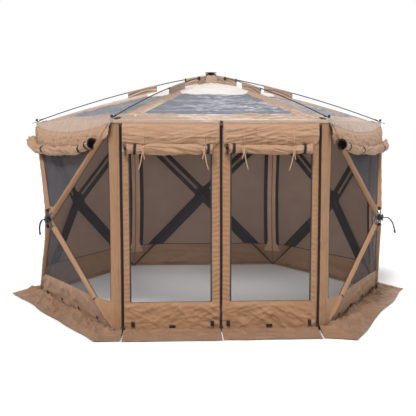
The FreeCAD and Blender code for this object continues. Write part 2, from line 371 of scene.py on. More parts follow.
def nurbs_mesh(name, points, radius=0.0, steps=12, closed=False):
    """Mesh of a smooth curve with these control points: a round rod, or a bare line if it has no radius."""
    curve = bpy.data.curves.new(name, "CURVE")
    curve.dimensions = "3D"
    curve.bevel_depth = radius
    curve.bevel_resolution = 3
    curve.use_fill_caps = True
    spline = curve.splines.new("NURBS")
    spline.points.add(len(points) - 1)
    for control, place in zip(spline.points, points):
        control.co = (*place, 1)
    spline.use_cyclic_u = closed
    spline.order_u = 3
    spline.use_endpoint_u = not closed
    spline.resolution_u = steps
    holder = link_new(name + "_curve", curve)
    bpy.context.view_layer.update()
    mesh = bpy.data.meshes.new_from_object(holder)
    bpy.data.objects.remove(holder)
    return mesh


def tube(name, points, radius, material, body, closed=False):
    """Round rod or seam along points."""
    mesh = nurbs_mesh(name, points, radius=radius, closed=closed)
    mesh.name = name
    mesh.materials.clear()
    for face in mesh.polygons:
        face.use_smooth = True
    return add_object(name, mesh, [material], body)


def smooth_points(points, count):
    """About count points along the smooth curve that has these control points."""
    line = nurbs_mesh("route", points, steps=max(2, count // (len(points) - 1)))
    return [vert.co.copy() for vert in line.vertices]


# ---------------------------------------------------------------- hub walls

CORNER_BOW = {"front": 0.012, "side": 0.058}     # how far a corner seam is pulled inward at mid height
DIAGONAL = math.hypot(HALF_HEIGHT, HALF_SIDE)
FACET_SAG = 0.012                                # hollow in the middle of each tensioned facet
FRONT_ENDS = (("front_left", 1), ("front_right", -1))    # the ends of hub walls at the two front corners


def seam_bow(at_front, v):
    """Inward pull of a corner seam at height v."""
    return CORNER_BOW["front" if at_front else "side"] * (1 - ((v - HUB_Z) / HALF_HEIGHT) ** 2)


def wall_point(wall):
    """Function that places (u, v, lift) of a popped-out wall's fabric."""
    place = wall_frame(HUB_WALLS[wall])

    def point(u, v, lift=0.0):
        side = 1 if u >= 0 else -1
        up_share = (HALF_HEIGHT - abs(v - HUB_Z)) / HALF_HEIGHT
        side_share = (HALF_SIDE - abs(u)) / HALF_SIDE
        share = min(up_share, side_share)
        w = WALL_BULGE * share
        if side_share < up_share:
            q = 1 - side_share / max(up_share, 1e-6)
            bow = seam_bow((wall, side) in FRONT_ENDS, v) * q
            u -= side * bow * math.sin(math.pi / 6)
            w -= bow * math.cos(math.pi / 6)
        hollow = 4 * FACET_SAG * abs(up_share - side_share) * share
        return place(u, v, w - hollow + lift)
    return point


def off_diagonal(u, v):
    """Distance in the wall's plane from the nearest diagonal."""
    return abs(abs(u) * HALF_HEIGHT - abs(v - HUB_Z) * HALF_SIDE) / DIAGONAL


def facet_outline(facet):
    """Corners of a facet in (u, v)."""
    hub = (0, HUB_Z)
    low_left, low_right = (-HALF_SIDE, BASE_Z), (HALF_SIDE, BASE_Z)
    high_left, high_right = (-HALF_SIDE, EAVE_Z), (HALF_SIDE, EAVE_Z)
    corners = {"top": [high_left, hub, high_right], "bottom": [low_left, low_right, hub],
               "left": [low_left, hub, high_left], "right": [low_right, high_right, hub]}
    return corners[facet]


def diagonal_cuts(distances):
    """Score lines beside the two diagonals."""
    cuts = []
    for sign in (-1, 1):
        normal = Vector((HALF_HEIGHT, -sign * HALF_SIDE)).normalized()
        for distance in distances:
            for shift in (-distance, distance):
                point = Vector((0, HUB_Z)) + normal * shift
                cuts.append((tuple(point), tuple(normal)))
    return cuts


HUB_PATCH = 0.115
EAVE_STRIP = 0.05
INNER_TAPE = 0.017
POCKET_HALF = 0.010
SEAM_LINE = 0.008
FLARE = 0.052               # how much the corner tape widens at its foot
FLARE_TOP = KICK_TOP + 0.035
FLARE_FOOT = KICK_TOP - 0.085
POLE_RISE_HUB = HUB_OUT - WALL_BULGE
POLE_RISE_CORNER = 0.014
THIN_BINDING = 0.007
FACETS = ("top", "bottom", "left", "right")
SIDES = {"left": -1, "right": 1}
BLEND_REACH = (0.968, 0.90)    # shares of half a side where two points are placed on an upright facet's hub line; nothing uses them
FACET_SLOPE = math.hypot(HALF_HEIGHT, WALL_BULGE) / HALF_HEIGHT


def wall_region(facet, closed):
    """Material index over a facet: 0 netting, 1 tan, 2 dark binding and dark strips, 3 inner tape, 4 corner
    tape.
    """
    tan = 3 if closed else 1
    dark = DARK_STRIP if closed else THIN_BINDING

    def region(u, v):
        edge = HALF_SIDE - abs(u)
        near = off_diagonal(u, v)
        flare = FLARE * (FLARE_TOP - v) / (FLARE_TOP - FLARE_FOOT)
        if closed and FLARE_FOOT < v < FLARE_TOP and edge < CORNER_STRIP + flare:
            return 4
        if closed and (v < KICK_TOP and near < POCKET_HALF or KICK_TOP < v < KICK_TOP + SEAM_LINE):
            return 2
        if v < KICK_TOP or EAVE_Z - v < EAVE_STRIP:
            return 1
        if edge < CORNER_STRIP:
            return 4 if closed else 1
        if closed and math.hypot(u, v - HUB_Z) < HUB_PATCH:
            return 2
        if facet == "top" and v < HUB_Z + HUB_PATCH and not closed:
            return 1
        if near < (INNER_TAPE if closed else DIAGONAL_TAN):
            return 2 if closed and v < HUB_Z else tan
        if near < DIAGONAL_TAN + dark or edge < CORNER_STRIP + dark:
            return 2
        return 0
    return region


def pole_rise(share):
    """Height of a wall pole's axis over the fabric, where share is 0 at the hub and 1 at the corner."""
    return POLE_RISE_HUB + (POLE_RISE_CORNER - POLE_RISE_HUB) * share


def kick_wrinkle(u, v, seed):
    """Creases in the tan strip at the foot of a wall, and the swell where it passes over a pole."""
    fade = ramp(KICK_TOP - v, 0, 0.05) * ramp(v, 0.0, 0.03)
    slanted = creases(abs(u), v, seed, 0.09, 3.5, -30)
    level = creases(u, v, seed + 5, 0.08, 5.0, 6)
    over_pole = math.exp(-(off_diagonal(u, v) / 0.021) ** 4)
    over_pole *= ramp(KICK_TOP + 0.01 - v, 0, 0.02) * ramp(v, 0.05, 0.12)
    swell = pole_rise((HUB_Z - v) / HALF_HEIGHT) + 0.009
    return fade * (0.015 * slanted + 0.012 * level) * (1 - over_pole) + swell * over_pole


def facet_piece(name, sheet, wall, facet, point, region, materials):
    """Stretched cloth over a facet. A level one rides on its panel; an upright one stays in place on no
    body.
    """
    size = flat_size(sheet, FACET_SLOPE)
    body = "panel_" + facet + "_" + wall
    upright = facet in SIDES
    made = shape_sheet(sheet, name, point, region, materials, None if upright else body)
    if upright:
        place = wall_frame(HUB_WALLS[wall])
        start, end = (tuple(place(SIDES[facet] * HALF_SIDE * reach, HUB_Z, 0)) for reach in BLEND_REACH)
        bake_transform(made)
        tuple(start)
        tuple(end)
    return made


def wall_cuts(closed):
    """Score lines of a hub wall's seams and bindings."""
    dark = DARK_STRIP if closed else THIN_BINDING
    cuts = diagonal_cuts((INNER_TAPE if closed else DIAGONAL_TAN, DIAGONAL_TAN + dark))
    levels = (KICK_TOP, KICK_TOP + SEAM_LINE, EAVE_Z - EAVE_STRIP, HUB_Z + HUB_PATCH)
    cuts += [((0, v), (0, 1)) for v in levels]
    cuts += diagonal_cuts((POCKET_HALF,)) if closed else []
    for side in (-1, 1):
        for inset in (CORNER_STRIP, CORNER_STRIP + dark):
            cuts.append(((side * (HALF_SIDE - inset), 0), (1, 0)))
        if closed:
            slant = (FLARE_TOP - FLARE_FOOT, -side * FLARE)
            cuts.append(((side * (HALF_SIDE - CORNER_STRIP), FLARE_TOP), slant))
    return cuts + [((0, FLARE_FOOT), (0, 1))] if closed else cuts


def wall_facets(wall, seed):
    """The four fabric facets of a hub wall."""
    place = wall_point(wall)
    closed = wall in CLOSED_WALLS
    near_facet = {"front_left": "right", "front_right": "left"}.get(wall)
    see_through = {near_facet: NETTING, "bottom": SIDE_NETTING}
    cuts = wall_cuts(closed)
    for facet in FACETS:
        def point(u, v):
            edge = min(1, (HALF_SIDE - abs(u)) / 0.03) if facet in SIDES else 1
            return place(u, v, kick_wrinkle(u, v, seed) * edge)

        sheet = scored_sheet(facet_outline(facet), 0.022 if facet == "bottom" else 0.04, cuts)
        netting = LINED_NETTING_PAINTED_LIGHT if closed else see_through.get(facet, FAR_NETTING)
        materials = [netting, LINING if closed else TAN, DARK, INNER_TAN, CORNER_TAN]
        region = wall_region(facet, closed)
        body = "panel_" + facet + "_" + wall
        made = facet_piece(body + "_fabric", sheet, wall, facet, point, region, materials)
        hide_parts(body)


SLEEVE_HALF = {1: 0.029, -1: 0.024}
SLEEVE_START = 0.085


def pole_sleeves(wall):
    """Tan sleeves that hold the four wall poles against the fabric, down to the kick strip."""
    place = wall_point(wall)
    across = Vector((HALF_HEIGHT, HALF_SIDE)).normalized()
    kick_share = (HUB_Z - KICK_TOP) / HALF_HEIGHT
    for level, facet, last in ((1, "upper", 0.945), (-1, "lower", kick_share + 0.012)):
        for side, word in ((-1, "left"), (1, "right")):
            def point(s, t):
                share = SLEEVE_START + (last - SLEEVE_START) * s
                c = 2 * t - 1
                half = SLEEVE_HALF[level] * (1 - 0.35 * ramp(share, 0.8, 1))
                u = side * (HALF_SIDE * share + across.x * c * half)
                v = HUB_Z + level * (HALF_HEIGHT * share - across.y * c * half)
                crown = pole_rise(share) + 0.006
                wave = 0.004 * creases(share, 0.1 * c, 5.0 * side + level, 0.05, 2.2, 20)
                arch = 1 - abs(c) ** 2.2
                return place(u, v, 0.003 + (crown + wave) * max(0, arch) ** 0.6)

            length = DIAGONAL * (last - SLEEVE_START)
            name = "pole_sleeve_" + facet + "_" + word + "_" + wall
            body = ("panel_top_" if level > 0 else "panel_bottom_") + wall
            made = grid_sheet(name, 60, 12, point, (length, 0.085), [TAN], body)


COVER_LIFT = 0.036          # how far a let-down cover stands off the netting
COVER_HOLE = 0.045          # radius of its hole round the hub
COVER_HEM = 0.012           # from its head up to the eave
COVER_FOOT = 0.20           # height of its foot


def closed_cover(wall, seed):
    """Tan cover let down over a back wall, one facet on each of the wall's panels."""
    place = wall_point(wall)
    head = EAVE_Z - COVER_HEM

    def point(u, v):
        reach = math.hypot(u, v - HUB_Z)
        if reach < COVER_HOLE:
            scale = COVER_HOLE / max(reach, 1e-4)
            u, v = u * scale, HUB_Z + (v - HUB_Z) * scale
        edge = ramp(HALF_SIDE - abs(u), 0, 0.12) * ramp(EAVE_Z - v, 0, 0.10)
        tight = ramp(off_diagonal(u, v), 0, 0.10)
        slack = 0.008 * creases(u, v, seed, 0.10, 4.0, 35)
        slack += 0.007 * creases(u, v, seed + 3, 0.09, 4.0, -40)
        return place(u, v, 0.006 + (COVER_LIFT - 0.006 + slack * tight - 0.012 * tight) * edge)

    for facet in FACETS:
        sheet = scored_sheet(facet_outline(facet), 0.032, [((0, COVER_FOOT), (0, 1)), ((0, head), (0, 1))])
        beyond = [f for f in sheet.faces if not COVER_FOOT < f.calc_center_median().y < head]
        bmesh.ops.delete(sheet, geom=beyond, context="FACES")
        name = "cover_" + facet + "_" + wall
        facet_piece(name, sheet, wall, facet, point, lambda u, v: 0, [LINING])


# ---------------------------------------------------------------- roof

WINDOW_LOW = 0.219          # roof window's lower edge, inward from the eave
WINDOW_HIGH = 0.99
WINDOW_HALF_LOW = 0.675
WINDOW_HALF_HIGH = 0.312
GORE_TOP_R = 0.10
RIDGE_LIFT = 0.04
RIDGE_FALL = 0.05


def roof_point(side):
    """Function that places (u, p) of a roof gore, p inward from the eave."""
    place = wall_frame(ROOF_SIDES[side])

    def point(u, p, lift=0.0):
        share = p / APOTHEM
        inset = HALF_SIDE * (1 - share) - abs(u)
        ridge = RIDGE_LIFT * math.sin(math.pi * share) * max(0, 1 - inset / RIDGE_FALL) ** 2
        return place(u, EAVE_Z + ROOF_RISE * share + ridge + lift, -p)
    return point


def window_half(p):
    """Half width of the roof window at p."""
    narrowing = WINDOW_HALF_HIGH - WINDOW_HALF_LOW
    return WINDOW_HALF_LOW + narrowing * (p - WINDOW_LOW) / (WINDOW_HIGH - WINDOW_LOW)


def roof_region(u, p):
    """Material index over a gore: 0 netting, 1 tan, 2 cap."""
    if p > WINDOW_HIGH:
        return 2
    if p > WINDOW_LOW and abs(u) < window_half(p):
        return 0
    return 1


def roof_gore(side, seed):
    """One roof gore with its window."""
    place = roof_point(side)
    top = APOTHEM - GORE_TOP_R
    narrow = HALF_SIDE * GORE_TOP_R / APOTHEM
    outline = [(-HALF_SIDE, 0), (HALF_SIDE, 0), (narrow, top), (-narrow, top)]
    slope = Vector((WINDOW_HIGH - WINDOW_LOW, WINDOW_HALF_LOW - WINDOW_HALF_HIGH)).normalized()
    cuts = [((0, WINDOW_LOW), (0, 1)), ((0, WINDOW_HIGH), (0, 1))]
    cuts += [((end * WINDOW_HALF_LOW, WINDOW_LOW), (end * slope.x, slope.y)) for end in (1, -1)]
    for inset in (RIDGE_FALL / 3, 2 * RIDGE_FALL / 3, RIDGE_FALL):
        cuts += [((end * (HALF_SIDE - inset), 0), (APOTHEM, end * HALF_SIDE)) for end in (-1, 1)]
    sheet = scored_sheet(outline, 0.014, cuts)
    size = flat_size(sheet, math.hypot(APOTHEM, ROOF_RISE) / APOTHEM)

    def point(u, p):
        half = HALF_SIDE * (1 - p / APOTHEM)
        calm = ramp(half - abs(u), 0.0, 0.08) * ramp(p, 0.0, 0.05)
        for line in (p - WINDOW_LOW, p - WINDOW_HIGH, window_half(p) - abs(u)):
            calm *= 0.08 + 0.92 * ramp(abs(line), 0, 0.04)
        pulled = creases(abs(u), p, seed + (9 if u > 0 else 0), 0.060, 7.0, 30) * ramp(abs(u), 0.10, 0.40)
        level = creases(u, p, seed + 4, 0.05, 8.0, 3)
        fine = creases(u, p, seed + 6, 0.030, 7.0, 12)
        return place(u, p, calm * (0.015 * pulled + 0.013 * level + 0.005 * fine))

    node_name = "roof_gore_" + side
    materials = [ROOF_NETTING, ROOF_TAN, CAP]
    made = shape_sheet(sheet, node_name + "_fabric", point, roof_region, materials, node_name)
    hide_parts(node_name)


POLE_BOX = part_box("roof_pole_right")
POLE_RADIUS = 0.005
POLE_BOW = 0.038
POLE_FOOT = (POLE_BOX[1][0] - 0.0015, POLE_BOX[0][2] + POLE_RADIUS)
POLE_HEAD = (POLE_BOX[0][0] + 0.0015, POLE_BOX[1][2] - POLE_RADIUS)


def pole_height(radius):
    """Height of a roof pole's axis at a radius, on its bowed line."""
    share = (POLE_FOOT[0] - radius) / (POLE_FOOT[0] - POLE_HEAD[0])
    return POLE_FOOT[1] + (POLE_HEAD[1] - POLE_FOOT[1]) * share + 4 * POLE_BOW * share * (1 - share)


def ridge_height(radius):
    """Height of the fabric ridge under a roof pole."""
    share = 1 - radius / CORNER_R
    return EAVE_Z + ROOF_RISE * share + RIDGE_LIFT * math.sin(math.pi * share)


SLEEVE_WRAP = 0.0085        # radius of a roof sleeve's fold over its pole
WRAP_TURN = 0.62 * math.pi  # how far round the pole each half of the fold goes
WRAP_SHARE = 0.2            # share of each half of the cloth that is in the fold
WEB_HALF = 0.0015           # half the gap between the sleeve's two layers


def roof_sleeve(corner, angle_deg, span, name, rows):
    """Flat fabric web that hangs the ridge from a roof pole, folded over the pole."""
    spot = corner_frame(angle_deg)

    def point(s, t):
        radius = span[0] + (span[1] - span[0]) * s
        top, bottom = pole_height(radius), ridge_height(radius) - 0.004
        web = abs(2 * t - 1)
        hand = 1 if t > 0.5 else -1
        if web < WRAP_SHARE:
            angle = web / WRAP_SHARE * WRAP_TURN
            return spot(radius, hand * SLEEVE_WRAP * math.sin(angle), top + SLEEVE_WRAP * math.cos(angle))
        share = (web - WRAP_SHARE) / (1 - WRAP_SHARE)
        start = top + SLEEVE_WRAP * math.cos(WRAP_TURN)
        gap = WEB_HALF + (SLEEVE_WRAP * math.sin(WRAP_TURN) - WEB_HALF) * (1 - share) ** 3
        wave = 0.004 * math.sin(11 * share + 3 * math.sin(4 * s)) * math.sin(math.pi * share)
        return spot(radius, hand * gap + wave, start + (bottom - start) * share)

    length = span[1] - span[0]
    made = grid_sheet(name, rows, 28, point, (length, 0.15), [ROOF_TAN], "roof_pole_" + corner)


OUTER_SLEEVE = (0.567, 0.872)
ARM_SLEEVE = (0.115, 0.275)
ARM_BAND = ((0.010, -0.034), (0.012, -0.012), (0.007, 0), (-0.007, 0), (-0.012, -0.012), (-0.010, -0.034))
POLE_TIP = (0.062, 0.085, 0.105, 0.125)


def roof_sleeves():
    """Long sleeves at mid rib, short arms at the hub with a black band on each."""
    for corner, angle_deg in CORNERS.items():
        roof_sleeve(corner, angle_deg, OUTER_SLEEVE, "rib_sleeve_" + corner, 24)
        roof_sleeve(corner, angle_deg, ARM_SLEEVE, "rib_arm_" + corner, 14)
        spot = corner_frame(angle_deg)
        body = "roof_pole_" + corner
        radius = ARM_SLEEVE[1] - 0.008
        top = pole_height(radius) + 0.010
        points = [spot(radius, across, top + drop) for across, drop in ARM_BAND]
        strap("rib_arm_band_" + corner, points, ray(angle_deg), 0.014, 0.002, BLACK_TAPE, body)
        tip = [spot(r, 0, pole_height(r)) for r in POLE_TIP]
        tube("pole_tip_" + corner, tip, 0.0075, HUB_PLASTIC, body)


COLLAR_R = 0.135            # radius of the collar's corners at its foot
COLLAR_SPAN = (EAVE_Z + ROOF_RISE * 0.905, ROOF_HUB_LOW + 0.014)
LID_HOLE = 0.022
LUG = ((0.018, -0.016), (0.042, -0.016), (0.054, -0.026))


def hexagon(angle):
    """Distance of a regular hexagon's edge from its middle, where its corners are at 1."""
    return math.cos(math.pi / 6) / math.cos((angle % (math.pi / 3)) - math.pi / 6)


def roof_collar():
    """Hexagonal fabric collar that hangs from the roof hub over the open apex of the skin."""
    low, high = COLLAR_SPAN

    def skirt_point(s, t):
        angle = 2 * math.pi * s
        reach = COLLAR_R * hexagon(angle) * (1 - 0.10 * t) + 0.004 * math.sin(24 * angle) * (1 - t)
        return Vector((reach * math.cos(angle), reach * math.sin(angle), low + (high - low) * t))

    def lid_point(s, t):
        angle = 2 * math.pi * s
        reach = LID_HOLE + (COLLAR_R * 0.9 * hexagon(angle) - LID_HOLE) * t
        peak = 0.020 * (1 - t ** 3) + 0.003 * math.cos(6 * angle) * math.sin(math.pi * t)
        return Vector((reach * math.cos(angle), reach * math.sin(angle), high + peak))

    made = grid_sheet("roof_collar", 96, 8, skirt_point, (0.82, high - low), [ROOF_TAN], "roof_hub")
    lid = grid_sheet("roof_collar_top", 96, 10, lid_point, (0.5, 0.1), [ROOF_TAN], "roof_hub")
    for corner, angle_deg in CORNERS.items():
        spot = corner_frame(angle_deg)
        for across, word in ((-0.011, "a"), (0.011, "b")):
            lug = [spot(r, across, ROOF_HUB_HIGH + drop) for r, drop in LUG]
            tube("roof_hub_lug_%s_%s" % (corner, word), lug, 0.0055, HUB_PLASTIC, "roof_hub")


# ---------------------------------------------------------------- drape below the eave

DOOR_ROLL = [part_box("door_cover_left")[i] for i in (0, 1)]
DOOR_ROLL_V = (DOOR_ROLL[0][2] + DOOR_ROLL[1][2]) / 2
DOOR_ROLL_R = (DOOR_ROLL[1][2] - DOOR_ROLL[0][2]) / 2
DOOR_ROLL_W = -(DOOR_ROLL[0][1] + DOOR_ROLL[1][1]) / 2 - APOTHEM
DOOR_ROLL_X = {"left": (0.078, 0.807), "right": (0.045, 0.765)}     # from the middle zip outward
DOOR_BAND_X = {"left": (0.112, 0.725), "right": (0.103, 0.700)}
VALANCE_X = (0.017, 0.830)      # a door cover's ends along the eave
TIE_X = {"left": (0.148, 0.655), "right": (0.185, 0.608)}
DOOR_ROLL_SEED = 41.0
SIDE_SEED = {"front_left": 61.0, "front_right": 66.0}
FLAP_ROWS = 18
FLAP_INNER_ROWS = 4
FLAP_INWARD = 0.03          # how far the eave flap starts in from the eave
FLAP_EDGE = 0.012           # its hem's depth at the corners, and how much deeper it is in the middle
FRONT_FLAP_SAG = 0.004
SIDE_FLAP_SAG = 0.078
# Along a side roll, u grows towards the front corner.
SIDE_ROLL_FAR = {"front_left": -0.875, "front_right": -0.852}
SIDE_CURL = {"front_left": (0.056, 0.020), "front_right": (0.022, 0.004)}   # rise and swell of the far end
SIDE_NEAR_RISE = {"front_left": 0.032, "front_right": 0.014}
SIDE_ROLL_NEAR = {"front_left": 0.70, "front_right": 0.80}
SIDE_VALANCE = (-0.90, 0.903)   # a side cover's ends along the eave
SIDE_BAND_U = {"front_left": (-0.42, 0.50, 0.62), "front_right": (-0.56, 0.30, 0.66)}


def bell(value, middle, width):
    """1 at the middle, falling to 0 at a few widths from it."""
    return math.exp(-((value - middle) / width) ** 2)


def door_roll(u):
    """Axis (outward, height) and radius of a front roll at u."""
    x = abs(u)
    word = "left" if u < 0 else "right"
    inner, outer = DOOR_ROLL_X[word]
    reach = (x - inner) / (outer - inner)
    middle = math.sin(math.pi * min(1, max(0, reach)))
    pinch = 0.004 * sum(bell(x, band, 0.022) for band in DOOR_BAND_X[word])
    pinch += 0.012 * sum(bell(x, tie, 0.035) for tie in TIE_X[word])
    flare = 0.010 * (1 - ramp(reach, 0, 0.06)) + 0.010 * ramp(reach, 0.94, 1)
    radius = DOOR_ROLL_R - 0.008 - pinch + flare + 0.006 * middle
    return DOOR_ROLL_W - 0.001, DOOR_ROLL_V - 0.008 * middle + 0.003 * math.sin(9 * u), radius


SIDE_AXIS = (0.130, 1.548)      # outward and height of a side roll's axis in the middle of its wall
SIDE_ROLL_R = 0.043


def side_roll(wall):
    """Function that gives axis (outward, height) and radius of a side roll at u."""
    near = SIDE_ROLL_NEAR[wall]
    bands = SIDE_BAND_U[wall]

    def roll(u):
        x = u / HALF_SIDE
        curl = ramp(-u, 0.62, 0.88)
        lifted = SIDE_CURL[wall][0] * curl + SIDE_NEAR_RISE[wall] * ramp(u, near - 0.30, near)
        height = SIDE_AXIS[1] + 0.050 * x * x + 0.012 * x + lifted
        out = SIDE_AXIS[0] - 0.052 * x * x - 0.004 * curl
        pinch = 0.014 * sum(bell(u, band, 0.030) for band in bands)
        flare = SIDE_CURL[wall][1] * curl + 0.011 * ramp(u, near - 0.07, near)
        return out + 0.004 * math.sin(7 * u), height + 0.005 * math.sin(11 * u), SIDE_ROLL_R - pinch + flare
    return roll


# Width, stretch, direction and sharpness of the two sets of creases in a valance.
DOOR_CREASES = ((0.036, 10.0, 13, 2.0), (0.042, 9.0, -10, 2.0))
SIDE_CREASES = ((0.075, 5.0, 52, 1.8), (0.070, 5.0, -38, 1.8))


def valance(u, share, roll, seed):
    """Drape (outward, height) at u, from a roll's back at share 0 up to the eave at share 1."""
    out, height, radius = roll(u)
    low = (out - radius - roll_lump(u, -math.pi, seed) + 0.002, height)
    high = (0.010, EAVE_Z - 0.004)
    slack = math.sin(math.pi * share)
    place = height + 0.25 * share
    pulls, crosses = DOOR_CREASES if roll is door_roll else SIDE_CREASES
    pulled = creases(u, place, seed, *pulls)
    crossed = creases(u, place, seed + 4, *crosses)
    level = creases(u, place, seed + 2, 0.034, 12.0, 3, 2.0)
    hem = 1 - flap_drop(u, roll) / (EAVE_Z - height)
    free = 1 - ramp(share, hem - 0.14, hem - 0.02)
    swell = slack * (0.014 + free * (0.010 * pulled + 0.009 * crossed + 0.007 * level))
    return low[0] + (high[0] - low[0]) * share + swell, low[1] + (high[1] - low[1]) * share


def flap_drop(u, roll):
    """Depth of the roof flap's hem below the eave at u."""
    middle = 1 - (u / HALF_SIDE) ** 2
    return FLAP_EDGE + (FRONT_FLAP_SAG if roll is door_roll else SIDE_FLAP_SAG) * middle


def roll_lump(u, angle, seed):
    """Puffs of a roll's surface with creased valleys between them, the same after each full turn."""
    turn = angle + 5.0 * u
    spot = Vector((1.5 * math.cos(turn), 1.5 * math.sin(turn), 3.4 * u + seed))
    coarse = (1 - min(1, 2.3 * abs(noise.noise(spot)))) ** 1.6
    fine = (1 - min(1, 2.3 * abs(noise.noise(spot * 1.9)))) ** 1.6
    return 0.004 * math.sin(2 * angle + 3 * u) - 0.016 * coarse - 0.008 * fine + 0.007


def side_flip(side):
    """1 where a wall's own u grows towards the front corner, else -1."""
    return -1 if side == "front_right" else 1


def eave_flap(side, seed):
    """Roof fabric that wraps down over the eave, with a hem that sags between the corners."""
    place = wall_frame(ROOF_SIDES[side])
    closed = side in CLOSED_WALLS
    roll = door_roll if side == "front" else None if closed else side_roll(side)
    roll_seed = DOOR_ROLL_SEED if side == "front" else SIDE_SEED.get(side)

    def point(t, s):
        u = (2 * s - 1) * HALF_SIDE
        middle = 1 - (2 * s - 1) ** 2
        sag = flap_drop(u, roll)
        index = t * FLAP_ROWS
        if index < FLAP_INNER_ROWS:
            inward = (1 - index / FLAP_INNER_ROWS) * FLAP_INWARD
            return place(u, EAVE_Z + 0.007 + ROOF_RISE / APOTHEM * inward, 0.006 - inward)
        fall = (index - FLAP_INNER_ROWS) / (FLAP_ROWS - FLAP_INNER_ROWS)
        ripple = 0.006 * creases(u, fall * sag, seed, 0.06, 3.0, 65)
        ripple *= math.sin(math.pi * fall) * ramp(middle, 0, 0.2)
        if closed:
            out = 0.008 + (0.030 + 0.02 * middle) * math.sin(fall * math.pi / 2) * ramp(middle, 0, 0.35)
            return place(u, EAVE_Z + 0.006 - sag * fall, out + ripple)
        along = u * side_flip(side)
        share = 1 - fall * sag / (EAVE_Z - roll(along)[1])
        out, height = valance(along, share, roll, roll_seed)
        return place(u, height + 0.010 * (1 - fall), max(out, 0.011) + 0.0042 - 0.0022 * fall + ripple)

    deepest = FRONT_FLAP_SAG if side == "front" else SIDE_FLAP_SAG
    size = (FLAP_INWARD + FLAP_EDGE + 0.75 * deepest, 2 * HALF_SIDE)
    made = grid_sheet("eave_flap_" + side, FLAP_ROWS, 170, point, size, [ROOF_TAN], "frame")


# ---------------------------------------------------------------- fixed skin

def corner_seams():
    """Piped seams down the six corners."""
    for corner, angle_deg in CORNERS.items():
        heights = [BASE_Z + (EAVE_Z - BASE_Z) * i / 12 for i in range(13)]
        pulls = [seam_bow("front" in corner, v) for v in heights]
        points = [ray(angle_deg) * (CORNER_R + 0.001 - pull) + UP * v for v, pull in zip(heights, pulls)]
        tube("corner_seam_" + corner, points, 0.006, TAN, "frame")


def front_posts():
    """Flat tan posts between the corners and the outer zips, and the header over the door."""
    place = wall_frame(FRONT)
    inner = ZIP_X + ZIP_HALF
    for side, word in ((-1, "left"), (1, "right")):
        def point(s, t):
            u = side * (inner + (HALF_SIDE - inner) * t)
            v = HEM_Z + (EAVE_Z - HEM_Z) * s
            pleat = 0.006 * math.sin(math.pi * t) ** 0.7 + 0.002 * math.sin(5 * math.pi * t)
            creased = 0.007 * creases(v, 0.06 * t, 7.0 + side, 0.025, 4.0, 8) * math.sin(math.pi * t)
            return place(u, v, pleat + creased)

        post = grid_sheet("front_post_" + word, 150, 14, point, (EAVE_Z, 0.06), [TAN], "frame")

    def header_point(s, t):
        return place((2 * s - 1) * inner, DOOR_TOP_Z + (EAVE_Z - DOOR_TOP_Z) * t, 0)

    header = grid_sheet("door_header", 40, 2, header_point, (2 * inner, 0.03), [TAN], "frame")
    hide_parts("fabric_frame")


ZIP_TOP = 1.772
COIL_HALF = 0.35            # half width of a zip's coil, as a share of its tape's half width


def zip_tape(name, x, body):
    """Black zip tape with a raised coil down its middle."""
    place = wall_frame(FRONT)

    def point(s, t):
        c = 2 * t - 1
        coil = 0.0035 * max(0, 1 - (c / COIL_HALF) ** 2) ** 0.5
        bend = 0.003 * math.sin(3 * s + 1) * math.sin(math.pi * s)
        return place(x + c * (ZIP_HALF + ZIP_LAP) + bend, HEM_Z + (ZIP_TOP - HEM_Z) * s, 0.0045 + coil)

    thicken(grid_sheet(name, 60, 8, point, (ZIP_TOP, 0.02), [ZIP_TAPE], body), 0.0012)


# ---------------------------------------------------------------- doors

DOOR_OUTER_X = ZIP_X - ZIP_HALF - 0.001
DOOR_TOP = DOOR_TOP_Z - 0.002
WINDOW_OUT = 0.768
WINDOW_IN = 0.090
WINDOW_BOTTOM = 0.268
WINDOW_TOP = 1.65
PUCKER = 0.042
HEM_LINE = 0.004


def door_relief(side, inner_x, u, v):
    """How far a door's cloth stands out of the door's plane."""
    x = side * u
    kick = ramp(WINDOW_BOTTOM - v, 0.0, 0.05)
    broad = creases(u, v, 11 + side, 0.12, 2.6, -30, 1.5)
    broad += 0.7 * creases(u, v, 17 + side, 0.11, 3.0, 24, 1.5)
    sharp = creases(u, v, 23 + side, 0.045, 5.0, -34, 2.5)
    sharp += 0.8 * creases(u, v, 26 + side, 0.05, 4.0, 12, 2.5)
    kick_fold = kick * (0.011 * broad + 0.008 * sharp)
    border = ramp(x, WINDOW_OUT, WINDOW_OUT + 0.03) + ramp(WINDOW_IN - x, 0, 0.03)
    drift = 0.7 * noise.noise(Vector((u * 6, v * 5, side)))
    pucker = 0.5 + 0.5 * math.sin(2 * math.pi * (v / PUCKER + 0.25 * x / PUCKER + drift))
    border_fold = border * (0.005 * pucker ** 1.5 + 0.004)
    edge = ramp(x, inner_x, inner_x + 0.02) * ramp(DOOR_OUTER_X - x, 0, 0.02)
    across = math.sin(math.pi * ramp(x, WINDOW_IN, WINDOW_OUT))
    billow = 0.006 * across * math.sin(math.pi * ramp(v, WINDOW_BOTTOM, WINDOW_TOP))
    edge *= ramp(DOOR_TOP_Z - v, 0.002, 0.04)
    return (kick_fold + border_fold * (1 - kick)) * edge - billow


